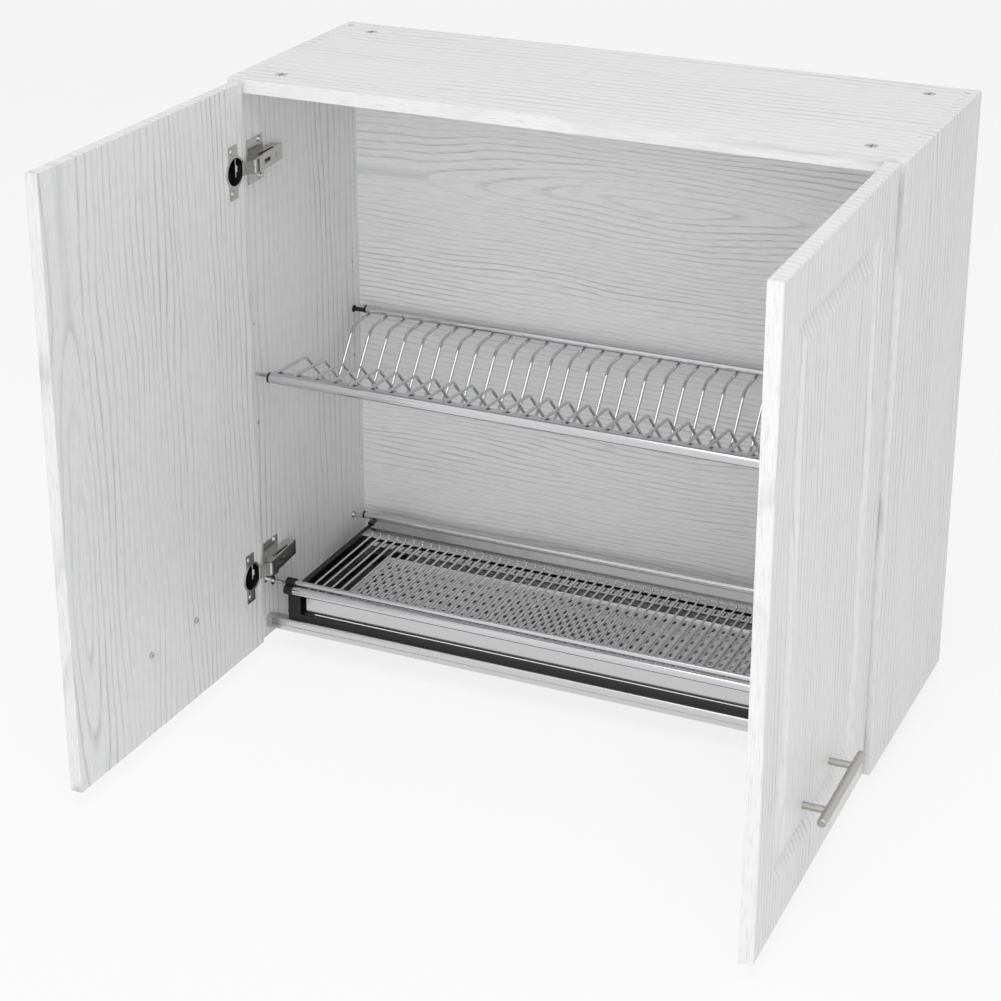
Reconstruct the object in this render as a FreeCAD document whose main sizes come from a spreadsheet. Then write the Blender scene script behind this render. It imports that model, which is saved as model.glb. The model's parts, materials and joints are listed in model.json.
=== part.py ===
import FreeCAD, Part
import math
import os

# Wall dish drainer cabinet.
# X runs across the cabinet, Y from the doors (-) back to the wall (0), Z up.
# The origin lies on the wall, half way between the two hanging eyes.
# The doors are drawn standing open, as they are in use; each turns on one upright axis.

SIZES = {
    # carcass
    "width": 800,
    "height": 720,
    "depth": 300,
    "board": 16,
    "back_sheet": 4,
    "back_inset": 15,
    "groove_depth": 8,
    "groove_play": 0.1,
    "back_play": 0.5,
    "rail_depth": 60,
    # hanging eyes behind the back sheet
    "eye_drop": 40,
    "eye_radius": 5,
    "eye_plate": 2,
    "eye_plate_height": 56,
    "eye_plate_width": 11,
    "eye_plate_drop": 6,
    "eye_hole": 4,
    "eye_pocket": 12,
    "eye_screw_high": 14,
    "eye_screw_low": 27,
    "small_screw_radius": 1.75,
    "small_head_radius": 3.5,
    "small_head": 2,
    "small_screw_length": 13,
    "thread_depth": 0.4,
    # cam fittings and dowels that hold the boards together
    "cam_radius": 7.5,
    "cam_depth": 12.5,
    "cam_play": 0.1,
    "cam_reach": 34,
    "cam_inset": 37,
    "rail_cam_inset": 48,
    "cam_bolt_radius": 2.5,
    "cam_bolt_bite": 11,
    "cam_bolt_bore": 3.9,
    "cam_head_radius": 3.4,
    "cam_head": 3,
    "cam_collar": 2.5,
    "cam_collar_play": 0.3,
    "cam_board_gap": 0.2,
    "cam_hook_play": 0.4,
    "cam_slot_length": 10,
    "cam_slot_width": 1.6,
    "cam_slot_depth": 2,
    "dowel_radius": 4,
    "dowel_half": 15,
    "dowel_step": 32,
    "dowel_end_play": 1,
    "rail_dowel_inset": 10,
    # doors
    "door_board": 16,
    "door_gap": 4,
    "reveal": 2,
    "middle_gap": 4,
    "open_angle": 91,
    "edge_round": 3,
    "frame_width": 56,
    "frame_corner": 12,
    "mould_slope": 12,
    "mould_depth": 6.5,
    "field_start": 70,
    "field_slope": 15,
    # door handles
    "handle_rise": 100,
    "handle_pitch": 96,
    "handle_length": 150,
    "handle_radius": 5,
    "handle_standoff": 28,
    "handle_end_round": 1.5,
    "post_radius": 4,
    "handle_screw_radius": 2,
    "handle_head_radius": 4,
    "handle_head": 2.2,
    "handle_bore_play": 0.1,
    "post_bore": 12,
    "cross_length": 5,
    "cross_width": 1,
    "cross_depth": 1,
    # concealed hinges
    "hinge_axis_in": 11.2,
    "hinge_axis_out": 15,
    "hinge_end": 100,
    "cup_centre": 22.5,
    "cup_radius": 17.5,
    "cup_depth": 12.2,
    "cup_wall": 1,
    "cup_flange": 1.2,
    "cup_flange_radius": 19,
    "cup_ear_width": 18,
    "cup_ear_shift": 4,
    "cup_screw_shift": 6,
    "cup_screw_head": 1.2,
    "cup_ear_length": 64,
    "cup_screw_step": 50,
    "plate_front": 9,
    "plate_width": 35,
    "plate_length": 53,
    "plate_wing": 2,
    "plate_screw_step": 44,
    "plate_screw_edge": 7,
    "plate_rib": 6,
    "plate_rib_length": 58,
    "arm_top": 34,
    "arm_rear_top": 29,
    "arm_length": 70,
    "arm_window": 22,
    "arm_window_length": 16,
    "arm_screw": 54,
    "arm_screw_radius": 3,
    "arm_screw_play": 0.5,
    "arm_screw_rise": 1.2,
    "arm_mouth": 9,
    "arm_window_width": 5,
    "arm_slot_front": 16,
    "arm_slot_length": 36,
    "arm_slot_rise": 2,
    "arm_slot_width": 3.5,
    "arm_half": 9.5,
    "arm_wall": 1.5,
    "arm_pin_in": 31,
    "arm_pin_back": 3,
    "arm_pin_radius": 1.5,
    "pin_play": 0.05,
    "link_eye": 2.8,
    "link_half": 7.8,
    "link_sheet": 1.6,
    "link_knee_in": 25,
    "link_knee_out": 15,
    "link_tongue_half": 4,
    "link_broad_half": 6,
    "link_broad_part": 0.45,
    "cup_pin_edge": 9.6,
    "cup_pin_depth": 7,
    "cup_pin_radius": 0.9,
    "cup_eye": 2.75,
    "cup_eye_bore": 2.05,
    "cup_pin_bite": 0.4,
    "link_length": 23.8,
    "link_lean": 49.5,
    # rows of shelf pin holes in the sides
    "pin_hole_radius": 2.5,
    "pin_hole_depth": 12,
    "pin_row_front": 12,
    "pin_row_rear": 37,
    "pin_row_height": 354,
    "pin_row_step": 64,
    # plate rack
    "rack_end_gap": 20,
    "cap_thick": 3,
    "rail_radius": 6.5,
    "rear_tube_radius": 5,
    "tube_wall": 1,
    "cap_plug": 12,
    "cap_plug_play": 0.4,
    "lip_depth": 16,
    "lip_sheet": 1.5,
    "lip_drop": 1.2,
    "lip_bite": 1,
    "lip_edge": 5,
    "plate_wire_radius": 2,
    "wire_rise": 3.5,
    "weld": 0.3,
    "plate_wire_count": 30,
    "plate_wire_margin": 22.1,
    "shoulder_back": 95,
    "shoulder_drop": 2,
    "valley_back": 166,
    "valley_drop": 75,
    "rise_back": 221,
    "shoulder_bend": 20,
    "valley_bend": 22,
    "rise_bend": 25,
    "valley_tube_radius": 6,
    "valley_tube_back": 168,
    "valley_tube_drop": 71.15,
    "pin_radius": 2.4,
    "pin_bite": 10,
    "pin_collar": 1.5,
    "rack_pin_shift": 2,
    "sleeve_radius": 2.8,
    "sleeve_flange_radius": 4.5,
    # cup rack
    "cup_pin_front": 31,
    "cup_pin_front_height": 72.5,
    "cup_pin_rear": 53,
    "cup_pin_rear_height": 72,
    "cup_pin_shift": 3,
    "cup_rack_end_gap": 24,
    "cup_rail_play": 2,
    "upper_tube_radius": 3.5,
    "lower_tube_radius": 5.8,
    "lower_tube_forward": 6,
    "lower_tube_drop": 8,
    "lower_tube_inset": 8,
    "clamp_length": 12,
    "clamp_lead": 4,
    "clamp_wall": 2,
    "clamp_sleeve": 0.5,
    "front_collar_radius": 5.5,
    "rear_collar_radius": 5,
    "cup_rear_tube_radius": 5,
    "cup_wire_radius": 1.5,
    "cup_wire_count": 56,
    "cup_wire_margin": 47,
    "cup_wire_tip": 4.5,
    "cup_wire_bend": 2.5,
    "cup_wire_low": 2,
    "strip_sheet": 1,
    "strip_ledge": 38,
    "cup_wire_back": 88,
    "strip_end_gap": 32.1,
    "end_wall": 8,
    "end_front": 40,
    "end_rear": 50,
    "end_height": 26,
    "end_post_depth": 8,
    "end_post_height": 30,
    "end_post_back": 56,
    "shelf_rise": 4.7,
    "shelf_depth": 27,
    "shelf_front": 26,
    "shelf_sheet": 3,
    "foot_width": 17,
    "foot_depth": 11,
    "foot_shift": 2,
    # front bar under the racks
    "bar_front": 14,
    "bar_depth": 12,
    "bar_rise": 13,
    "bar_height": 15.5,
    "bar_round": 3,
    "bar_wall": 1.6,
    "bar_groove": 0.8,
    "bar_groove_width": 1.2,
    "bar_groove_drop": 1.5,
    "plug_play": 0.05,
    "plug_pin_play": 0.1,
    "plug_length": 14,
    "plug_pin_radius": 2.4,
    "plug_pin_length": 10,
    "gasket_front": 6,
    "gasket_height": 7.5,
    "gasket_inset": 28,
    # drip tray and drain plate
    "tray_lift": 0.3,
    "tray_sheet": 0.8,
    "tray_front": 27,
    "tray_height": 21.5,
    "tray_end_gap": 50,
    "tray_depth": 211,
    "tray_flange": 44,
    "tray_cap": 34,
    "tray_cap_wall": 3,
    "tray_cap_floor": 2,
    "tray_cap_play": 0.02,
    "plate_rest": 2.4,
    "plate_sheet": 1,
    "plate_rise": 11,
    "plate_rear_gap": 10,
    "plate_front_gap": 4,
    "plate_fold": 3,
    "plate_edge": 2,
    "plate_panels": 8,
    "slot_width": 3.6,
    "slot_length": 9,
    "slot_pitch": 12.65,
    "slot_row": 20.2,
    "slot_margin": 8,
}

doc = FreeCAD.newDocument("drainer_cabinet")
sheet = doc.addObject("Spreadsheet::Sheet", "sizes")
for row, (alias, number) in enumerate(SIZES.items(), start=1):
    sheet.set(f"A{row}", alias)
    sheet.set(f"B{row}", str(number))
    sheet.setAlias(f"B{row}", alias)
doc.recompute()

V = FreeCAD.Vector
AXES = {"x": V(1, 0, 0), "y": V(0, 1, 0), "z": V(0, 0, 1)}
TURN_TO = {
    "x": FreeCAD.Rotation(V(0, 1, 0), 90),
    "y": FreeCAD.Rotation(V(1, 0, 0), -90),
    "z": FreeCAD.Rotation(),
}
nodes = []


def link_sizes(text):
    # Turns "width/2 - board" into "sizes.width/2 - sizes.board".
    out = ""
    word = ""
    for char in str(text) + " ":
        if char.isalnum() or char in "_.":
            word += char
        else:
            out += ("sizes." + word if word in SIZES else word) + char
            word = ""
    return out.strip()


def val(name):
    return float(sheet.get(name))


def place(obj, x, y, z, axis="z"):
    obj.Placement = FreeCAD.Placement(V(0, 0, 0), TURN_TO[axis])
    for path, text in (("x", x), ("y", y), ("z", z)):
        obj.setExpression("Placement.Base." + path, link_sizes(text))


def box(x, y, z, dx, dy, dz, name="block"):
    obj = doc.addObject("Part::Box", name)
    obj.setExpression("Length", link_sizes(dx))
    obj.setExpression("Width", link_sizes(dy))
    obj.setExpression("Height", link_sizes(dz))
    place(obj, x, y, z)
    return obj


def rod(x, y, z, radius, length, axis="x", name="rod"):
    obj = doc.addObject("Part::Cylinder", name)
    obj.setExpression("Radius", link_sizes(radius))
    obj.setExpression("Height", link_sizes(length))
    place(obj, x, y, z, axis)
    return obj


def side_x(side, x, dx="0"):
    # Everything is set out on the left (negative x); the right is its mirror image.
    return f"{x}" if side < 0 else f"-({x}) - ({dx})"


def side_box(side, x, y, z, dx, dy, dz):
    return box(side_x(side, x, dx), y, z, dx, dy, dz)


def side_rod(side, x, y, z, radius, length, axis="x"):
    return rod(side_x(side, x, length if axis == "x" else "0"), y, z, radius, length, axis)


def fuse(*parts):
    result = parts[0]
    for part in parts[1:]:
        joined = doc.addObject("Part::Fuse", "joined")
        joined.Base = result
        joined.Tool = part
        result = joined
    return result


def cut(base, *tools):
    result = base
    for tool in tools:
        less = doc.addObject("Part::Cut", "less")
        less.Base = result
        less.Tool = tool
        result = less
    return result


def many(parts):
    group = doc.addObject("Part::Compound", "group")
    group.Links = list(parts)
    return group


def node(name, obj):
    obj.Label = name
    nodes.append(obj)
    return obj


def shaped(name, shape):
    obj = doc.addObject("Part::Feature", name)
    obj.Shape = shape
    return node(name, obj)


def tube(x, y, z, radius, length, wall="tube_wall", axis="x"):
    bore = f"{radius} - ({wall})"
    return cut(rod(x, y, z, radius, length, axis), rod(x, y, z, bore, length, axis))


def side_wedge(side, x, y, z, front_dx, rear_dx, dy, dz):
    # A block whose width, measured from x inwards, runs from front_dx to rear_dx over its depth.
    obj = doc.addObject("Part::Wedge", "wedge")
    for name, text in (("Ymin", "0"), ("Ymax", dy), ("Zmin", "0"), ("Zmax", dz), ("Z2min", "0"), ("Z2max", dz)):
        obj.setExpression(name, link_sizes(text))
    for low, high, dx in (("Xmin", "Xmax", front_dx), ("X2min", "X2max", rear_dx)):
        obj.setExpression(low, link_sizes("0" if side < 0 else f"-({dx})"))
        obj.setExpression(high, link_sizes(dx if side < 0 else "0"))
    place(obj, side_x(side, x), y, z)
    return obj


LEFT, RIGHT = -1, 1
SIDES = ((LEFT, "left"), (RIGHT, "right"))
FLOOR = "(eye_drop - height)"
FRONT = "(-depth)"
OUTER = "(-width/2)"
INNER = "(board - width/2)"
CLEAR = "(width - 2*board)"
RAIL_Z = f"({FLOOR} + pin_row_height - rack_pin_shift)"
RAIL_Y = f"({FRONT} + pin_row_front)"
REAR_Z = f"({FLOOR} + pin_row_height + rack_pin_shift)"
REAR_Y = "(-pin_row_rear)"
SHEET_Y = "(-back_inset - back_sheet)"
LOWER_Y = f"({FRONT} + cup_pin_front)"
LOWER_Z = f"({FLOOR} + cup_pin_front_height)"
CUP_REAR_Y = "(-cup_pin_rear)"
CUP_REAR_Z = f"({FLOOR} + cup_pin_rear_height)"
PIN_FRONT_Z = f"({LOWER_Z} - cup_pin_shift)"
PIN_REAR_Z = f"({CUP_REAR_Z} - cup_pin_shift)"
BAR_Y = f"({FRONT} + bar_front)"
BAR_Z = f"({FLOOR} + bar_rise)"
SHELF_Z = f"({BAR_Z} + bar_height + shelf_rise)"
CAM_Z = "(eye_drop - board/2)"
EYE_X = "(board/2 - width/2)"
EYE_PLATE_X = f"({EYE_X} - eye_plate_width/2)"
EYE_PLATE_Z = "(-eye_plate_height/2 - eye_plate_drop)"
EYE_SCREWS = ("-eye_screw_high", "-eye_screw_low")
PLATE_SCREW_Y = f"({FRONT} + plate_front + plate_width - plate_screw_edge)"
PILOT = "small_screw_radius - thread_depth"
HINGE_Z = (f"({FLOOR} + reveal + hinge_end)", "(eye_drop - reveal - hinge_end)")

# Sides

def make_side(side, name):
    panel = side_box(side, OUTER, FRONT, FLOOR, "board", "depth", "height")
    tools = [
        side_box(side, f"{INNER} - groove_depth", f"{SHEET_Y} - groove_play", FLOOR,
                 "groove_depth", "back_sheet + 2*groove_play", "height"),
    ]
    for step in (-1, 0, 1):
        for y in (RAIL_Y, REAR_Y):
            tools.append(side_rod(side, f"{INNER} - pin_hole_depth", y,
                                  f"{FLOOR} + pin_row_height + {step}*pin_row_step",
                                  "pin_hole_radius", "pin_hole_depth"))
    tools.append(side_rod(side, f"{INNER} - pin_hole_depth", LOWER_Y, PIN_FRONT_Z, "pin_hole_radius", "pin_hole_depth"))
    tools.append(side_rod(side, f"{INNER} - pin_hole_depth", CUP_REAR_Y, PIN_REAR_Z,
                          "pin_hole_radius", "pin_hole_depth"))
    tools.append(side_rod(side, f"{INNER} - plug_pin_length", f"{BAR_Y} + bar_depth/2",
                          f"{BAR_Z} + bar_height/2", "plug_pin_radius + plug_pin_play", "plug_pin_length"))
    for y in (f"{FRONT} + cam_inset", "-cam_inset"):
        tools.append(side_rod(side, f"{INNER} - cam_bolt_bite", y, CAM_Z, "cam_bolt_radius", "cam_bolt_bite"))
    for y in (f"{FRONT} + cam_inset + dowel_step", "-cam_inset - dowel_step"):
        tools.append(side_rod(side, f"{INNER} - cam_bolt_bite", y, CAM_Z, "dowel_radius", "cam_bolt_bite"))
    tools.append(side_rod(side, f"{INNER} - cam_bolt_bite", "-rail_cam_inset", f"{FLOOR} + board/2",
                          "cam_bolt_radius", "cam_bolt_bite"))
    tools.append(side_rod(side, f"{INNER} - cam_bolt_bite", "-rail_dowel_inset", f"{FLOOR} + board/2",
                          "dowel_radius", "cam_bolt_bite"))
    # pocket for the eye plate and, behind its eye, for the head of the wall screw
    tools.append(side_box(side, EYE_PLATE_X, "-eye_plate", EYE_PLATE_Z, "eye_plate_width", "eye_plate",
                          "eye_plate_height"))
    tools.append(side_rod(side, EYE_X, "-eye_pocket", "0", "eye_radius", "eye_pocket", "y"))
    for z in EYE_SCREWS:
        tools.append(side_rod(side, EYE_X, "-small_screw_length", z, PILOT, "small_screw_length", "y"))
    # pilot holes for the hinge plates
    for end in HINGE_Z:
        for half in (-1, 1):
            tools.append(side_rod(side, f"{INNER} - small_screw_length + plate_wing", PLATE_SCREW_Y,
                                  f"{end} + {half}*plate_screw_step/2", PILOT, "small_screw_length"))
    return node(name, cut(panel, *tools))


for side, word in SIDES:
    make_side(side, "side_" + word)

# Top, back and bottom rail

top = box(INNER, FRONT, "eye_drop - board", CLEAR, "depth", "board")
top_tools = [
    box(INNER, f"{SHEET_Y} - groove_play", "eye_drop - board", CLEAR, "back_sheet + 2*groove_play", "groove_depth"),
]
for side, word in SIDES:
    for y in (f"{FRONT} + cam_inset", "-cam_inset"):
        top_tools.append(side_rod(side, f"{INNER} + cam_reach", y, "eye_drop - cam_depth",
                                  "cam_radius + cam_play", "cam_depth", "z"))
        top_tools.append(side_rod(side, INNER, y, CAM_Z, "cam_bolt_bore", "cam_reach"))
    for y in (f"{FRONT} + cam_inset + dowel_step", "-cam_inset - dowel_step"):
        top_tools.append(side_rod(side, INNER, y, CAM_Z, "dowel_radius",
                                  "2*dowel_half - cam_bolt_bite + dowel_end_play"))
node("top_panel", cut(top, *top_tools))

rail = box(INNER, "-rail_depth", FLOOR, CLEAR, "rail_depth", "board")
rail_tools = [
    box(INNER, f"{SHEET_Y} - groove_play", f"{FLOOR} + board - groove_depth", CLEAR,
        "back_sheet + 2*groove_play", "groove_depth"),
]
for side, word in SIDES:
    rail_tools.append(side_rod(side, f"{INNER} + cam_reach", "-rail_cam_inset", FLOOR,
                               "cam_radius + cam_play", "cam_depth", "z"))
    rail_tools.append(side_rod(side, INNER, "-rail_cam_inset", f"{FLOOR} + board/2", "cam_bolt_bore", "cam_reach"))
    rail_tools.append(side_rod(side, INNER, "-rail_dowel_inset", f"{FLOOR} + board/2",
                               "dowel_radius", "2*dowel_half - cam_bolt_bite + dowel_end_play"))
node("bottom_rear_rail", cut(rail, *rail_tools))

node("back_panel", box(f"{INNER} - groove_depth + back_play", SHEET_Y, f"{FLOOR} + board - groove_depth + back_play",
                       f"{CLEAR} + 2*groove_depth - 2*back_play", "back_sheet",
                       "height - 2*board + 2*groove_depth - 2*back_play"))

CAM_SPOTS = [
    (f"{FRONT} + cam_inset", "eye_drop - cam_depth", CAM_Z, 1),
    ("-cam_inset", "eye_drop - cam_depth", CAM_Z, 1),
    ("-rail_cam_inset", FLOOR, f"{FLOOR} + board/2", -1),
]
cams = []
bolts = []
dowels = []
for side, word in SIDES:
    for y, z, bolt_z, up in CAM_SPOTS:
        x = f"{INNER} + cam_reach"
        cam = side_rod(side, x, y, z, "cam_radius", "cam_depth", "z")
        slot_z = f"{z} + cam_depth - cam_slot_depth" if up > 0 else z
        cross = [
            side_box(side, f"{x} - cam_slot_length/2", f"{y} - cam_slot_width/2", slot_z,
                     "cam_slot_length", "cam_slot_width", "cam_slot_depth"),
            side_box(side, f"{x} - cam_slot_width/2", f"{y} - cam_slot_length/2", slot_z,
                     "cam_slot_width", "cam_slot_length", "cam_slot_depth"),
        ]
        reach = "(cam_head_radius + cam_hook_play)"
        hook = side_box(side, f"{x} - cam_radius", f"{y} - {reach}", f"{bolt_z} - {reach}",
                        "cam_radius + cam_head", f"2*{reach}", f"2*{reach}")
        cams.append(cut(cam, hook, *cross))
        bolts.append(fuse(
            side_rod(side, f"{INNER} - cam_bolt_bite", y, bolt_z, "cam_bolt_radius",
                     "cam_bolt_bite + cam_reach - cam_head/2"),
            side_rod(side, f"{INNER} + cam_board_gap", y, bolt_z, "cam_bolt_bore - cam_collar_play", "cam_collar"),
            side_rod(side, f"{x} - cam_head", y, bolt_z, "cam_head_radius", "cam_head"),
        ))
    for y, z in ((f"{FRONT} + cam_inset + dowel_step", CAM_Z), ("-cam_inset - dowel_step", CAM_Z)):
        dowels.append(side_rod(side, f"{INNER} - cam_bolt_bite", y, z, "dowel_radius", "2*dowel_half"))
    dowels.append(side_rod(side, f"{INNER} - cam_bolt_bite", "-rail_dowel_inset", f"{FLOOR} + board/2",
                           "dowel_radius", "2*dowel_half"))
node("cam_locks", many(cams))
node("cam_bolts", many(bolts))
node("dowels", many(dowels))

# Hanging eyes

plates = []
plate_screws = []
for side, word in SIDES:
    plate = side_box(side, EYE_PLATE_X, "-eye_plate", EYE_PLATE_Z, "eye_plate_width", "eye_plate", "eye_plate_height")
    holes = [side_rod(side, EYE_X, "-eye_plate", "0", "eye_hole", "eye_plate", "y")]
    for z in EYE_SCREWS:
        holes.append(side_rod(side, EYE_X, "-eye_plate", z, "small_screw_radius", "eye_plate", "y"))
        plate_screws.append(fuse(
            side_rod(side, EYE_X, "-small_screw_length", z, PILOT, "small_screw_length - eye_plate", "y"),
            side_rod(side, EYE_X, "-eye_plate", z, "small_screw_radius - thread_depth/4", "eye_plate", "y"),
        ))
    plates.append(cut(plate, *holes))
node("hanger_plates", many(plates))
node("hanger_screws", many(plate_screws))

# Plate rack

SLEEVE_Z = f"({RAIL_Z} + rack_pin_shift)"
rack_x = f"({INNER} + rack_end_gap)"
rack_long = f"({CLEAR} - 2*rack_end_gap)"
node("rack_rail", tube(rack_x, RAIL_Y, RAIL_Z, "rail_radius", rack_long))
lip = fuse(
    box(rack_x, f"{RAIL_Y} + rail_radius - lip_bite", f"{RAIL_Z} - lip_drop", rack_long, "lip_depth", "lip_sheet"),
    box(rack_x, f"{RAIL_Y} + rail_radius - lip_bite + lip_depth - lip_sheet", f"{RAIL_Z} - lip_drop - lip_edge",
        rack_long, "lip_sheet", "lip_edge + lip_sheet/2"),
)
node("rack_lip", cut(lip, rod(rack_x, RAIL_Y, RAIL_Z, "rail_radius", rack_long)))
rail_caps = []
rail_pins = []
valley_caps = []
sleeves = []
for side, word in SIDES:
    rail_caps.append(fuse(
        side_rod(side, f"{rack_x} - cap_thick", RAIL_Y, RAIL_Z, "rail_radius", "cap_thick"),
        side_rod(side, rack_x, RAIL_Y, RAIL_Z, "rail_radius - tube_wall - cap_plug_play", "cap_plug"),
    ))
    rail_pins.append(side_rod(side, f"{INNER} - pin_bite", RAIL_Y, f"{RAIL_Z} + rack_pin_shift", "pin_radius",
                              "pin_bite + rack_end_gap - cap_thick"))
    valley_caps.append(side_rod(side, f"{rack_x} - cap_thick", f"{FRONT} + valley_tube_back",
                                f"{RAIL_Z} - valley_tube_drop", "valley_tube_radius", "cap_thick"))
    sleeves.append(fuse(
        side_rod(side, INNER, REAR_Y, SLEEVE_Z, "sleeve_flange_radius", "pin_collar"),
        side_rod(side, INNER, REAR_Y, SLEEVE_Z, "sleeve_radius", "rack_end_gap - cap_thick"),
        side_rod(side, f"{INNER} - pin_bite", REAR_Y, SLEEVE_Z, "pin_radius", "pin_bite"),
        side_rod(side, f"{rack_x} - cap_thick", REAR_Y, REAR_Z, "rear_tube_radius", "cap_thick"),
    ))
node("rack_rail_caps", many(rail_caps))
node("rack_rail_pins", many(rail_pins))
node("valley_tube", rod(rack_x, f"{FRONT} + valley_tube_back", f"{RAIL_Z} - valley_tube_drop", "valley_tube_radius",
                        rack_long))
node("valley_tube_caps", many(valley_caps))
node("rack_rear_tube", tube(rack_x, REAR_Y, REAR_Z, "rear_tube_radius", rack_long))
node("rack_rear_sleeves", many(sleeves))


def bent_wire(points, bends, radius):
    # points: (y, z) corners of the wire; bends: radius of the bend at each inner corner
    corners = [V(0, y, z) for y, z in points]
    edges = []
    start = corners[0]
    for before, corner, after, bend in zip(corners, corners[1:], corners[2:], bends):
        back = (before - corner).normalize()
        ahead = (after - corner).normalize()
        half = back.getAngle(ahead) / 2
        leave = corner + back * (bend / math.tan(half))
        enter = corner + ahead * (bend / math.tan(half))
        middle = corner + (back + ahead).normalize() * (bend / math.sin(half) - bend)
        edges.append(Part.LineSegment(start, leave).toShape())
        edges.append(Part.Arc(leave, middle, enter).toShape())
        start = enter
    edges.append(Part.LineSegment(start, corners[-1]).toShape())
    spine = Part.Wire(edges)
    profile = Part.Wire([Part.makeCircle(radius, corners[0], corners[1] - corners[0])])
    return spine.makePipeShell([profile], True, False)


def row_of(shape, first, pitch, count):
    copies = []
    for i in range(count):
        copy = shape.copy()
        copy.translate(V(first + i * pitch, 0, 0))
        copies.append(copy)
    return Part.makeCompound(copies)


front = -val("depth")
floor = val("eye_drop") - val("height")
inner = val("width") / 2 - val("board")
rail_z = floor + val("pin_row_height") - val("rack_pin_shift")
wire_r = val("plate_wire_radius")
wire_rise = val("wire_rise")
start_y = front + val("pin_row_front") + math.sqrt(val("rail_radius") ** 2 - wire_rise ** 2) - val("weld")
rear_wire_z = floor + val("pin_row_height") + val("rack_pin_shift") - val("rear_tube_radius") - wire_r
plate_path = [
    (start_y, rail_z + wire_rise),
    (front + val("shoulder_back"), rail_z - val("shoulder_drop")),
    (front + val("valley_back"), rail_z - val("valley_drop")),
    (front + val("rise_back"), rear_wire_z),
    (-val("pin_row_rear") + wire_r, rear_wire_z),
]
wire = bent_wire(plate_path, [val("shoulder_bend"), val("valley_bend"), val("rise_bend")], wire_r)
first = -inner + val("plate_wire_margin")
pitch = 2 * abs(first) / (val("plate_wire_count") - 1)
shaped("plate_wires", row_of(wire, first, pitch, int(val("plate_wire_count"))))

# Cup rack

cup_x = f"({INNER} + cup_rack_end_gap + cup_rail_play)"
cup_long = f"({CLEAR} - 2*cup_rack_end_gap - 2*cup_rail_play)"
LOW_TUBE_Y = f"({LOWER_Y} - lower_tube_forward)"
LOW_TUBE_Z = f"({LOWER_Z} - lower_tube_drop)"
low_x = f"({cup_x} + lower_tube_inset)"
node("cup_rail_upper", rod(cup_x, LOWER_Y, LOWER_Z, "upper_tube_radius", cup_long))
node("cup_rail_lower", tube(low_x, LOW_TUBE_Y, LOW_TUBE_Z, "lower_tube_radius", f"{cup_long} - 2*lower_tube_inset"))
CLAMP_X = f"({cup_x} - clamp_lead)"
FOOT_Z = f"({SHELF_Z} + shelf_sheet)"
clamps = []
pins = []
feet = []
rear_caps = []
for side, word in SIDES:
    shell = fuse(
        side_rod(side, CLAMP_X, LOWER_Y, LOWER_Z, "upper_tube_radius + clamp_wall", "clamp_length"),
        side_rod(side, CLAMP_X, LOW_TUBE_Y, LOW_TUBE_Z, "lower_tube_radius + clamp_sleeve", "clamp_length"),
        side_box(side, CLAMP_X, LOW_TUBE_Y, LOW_TUBE_Z, "clamp_length", "lower_tube_forward", "lower_tube_drop"),
    )
    clamps.append(cut(shell, side_rod(side, cup_x, LOWER_Y, LOWER_Z, "upper_tube_radius",
                                      "clamp_length - clamp_lead")))
    pins.append(fuse(
        side_rod(side, f"{INNER} - pin_bite", LOWER_Y, PIN_FRONT_Z, "pin_radius",
                 "pin_bite + cup_rack_end_gap + cup_rail_play - clamp_lead"),
        side_rod(side, INNER, LOWER_Y, PIN_FRONT_Z, "front_collar_radius", "pin_collar"),
    ))
    pins.append(fuse(
        side_rod(side, f"{INNER} - pin_bite", CUP_REAR_Y, PIN_REAR_Z, "pin_radius",
                 "pin_bite + rack_end_gap - cap_thick"),
        side_rod(side, INNER, CUP_REAR_Y, PIN_REAR_Z, "rear_collar_radius", "pin_collar"),
    ))
    foot = side_box(side, f"{cup_x} + foot_shift", f"{LOWER_Y} - foot_depth", FOOT_Z, "foot_width", "foot_depth",
                    f"{LOW_TUBE_Z} - {FOOT_Z}")
    feet.append(cut(foot, side_rod(side, cup_x, LOW_TUBE_Y, LOW_TUBE_Z, "lower_tube_radius + clamp_sleeve",
                                   "foot_shift + foot_width")))
    rear_caps.append(side_rod(side, f"{rack_x} - cap_thick", CUP_REAR_Y, CUP_REAR_Z, "cup_rear_tube_radius",
                              "cap_thick"))
node("cup_rail_clamps", many(clamps))
node("cup_rail_pins", many(pins))
node("rack_feet", many(feet))
node("cup_rear_caps", many(rear_caps))
node("cup_rear_tube", tube(rack_x, CUP_REAR_Y, CUP_REAR_Z, "cup_rear_tube_radius", rack_long))

cup_r = val("cup_wire_radius")
low_y = front + val("cup_pin_front") - val("lower_tube_forward")
low_z = floor + val("cup_pin_front_height") - val("lower_tube_drop") - val("cup_wire_low")
rear_y = -val("cup_wire_back")
cup_path = [
    (low_y + math.sqrt(val("lower_tube_radius") ** 2 - val("cup_wire_low") ** 2) - val("weld"), low_z),
    (rear_y, low_z),
    (rear_y, low_z + val("cup_wire_tip")),
]
cup_wire = bent_wire(cup_path, [val("cup_wire_bend")], cup_r)
first = -inner + val("cup_wire_margin")
pitch = 2 * abs(first) / (val("cup_wire_count") - 1)
shaped("cup_wires", row_of(cup_wire, first, pitch, int(val("cup_wire_count"))))

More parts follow.
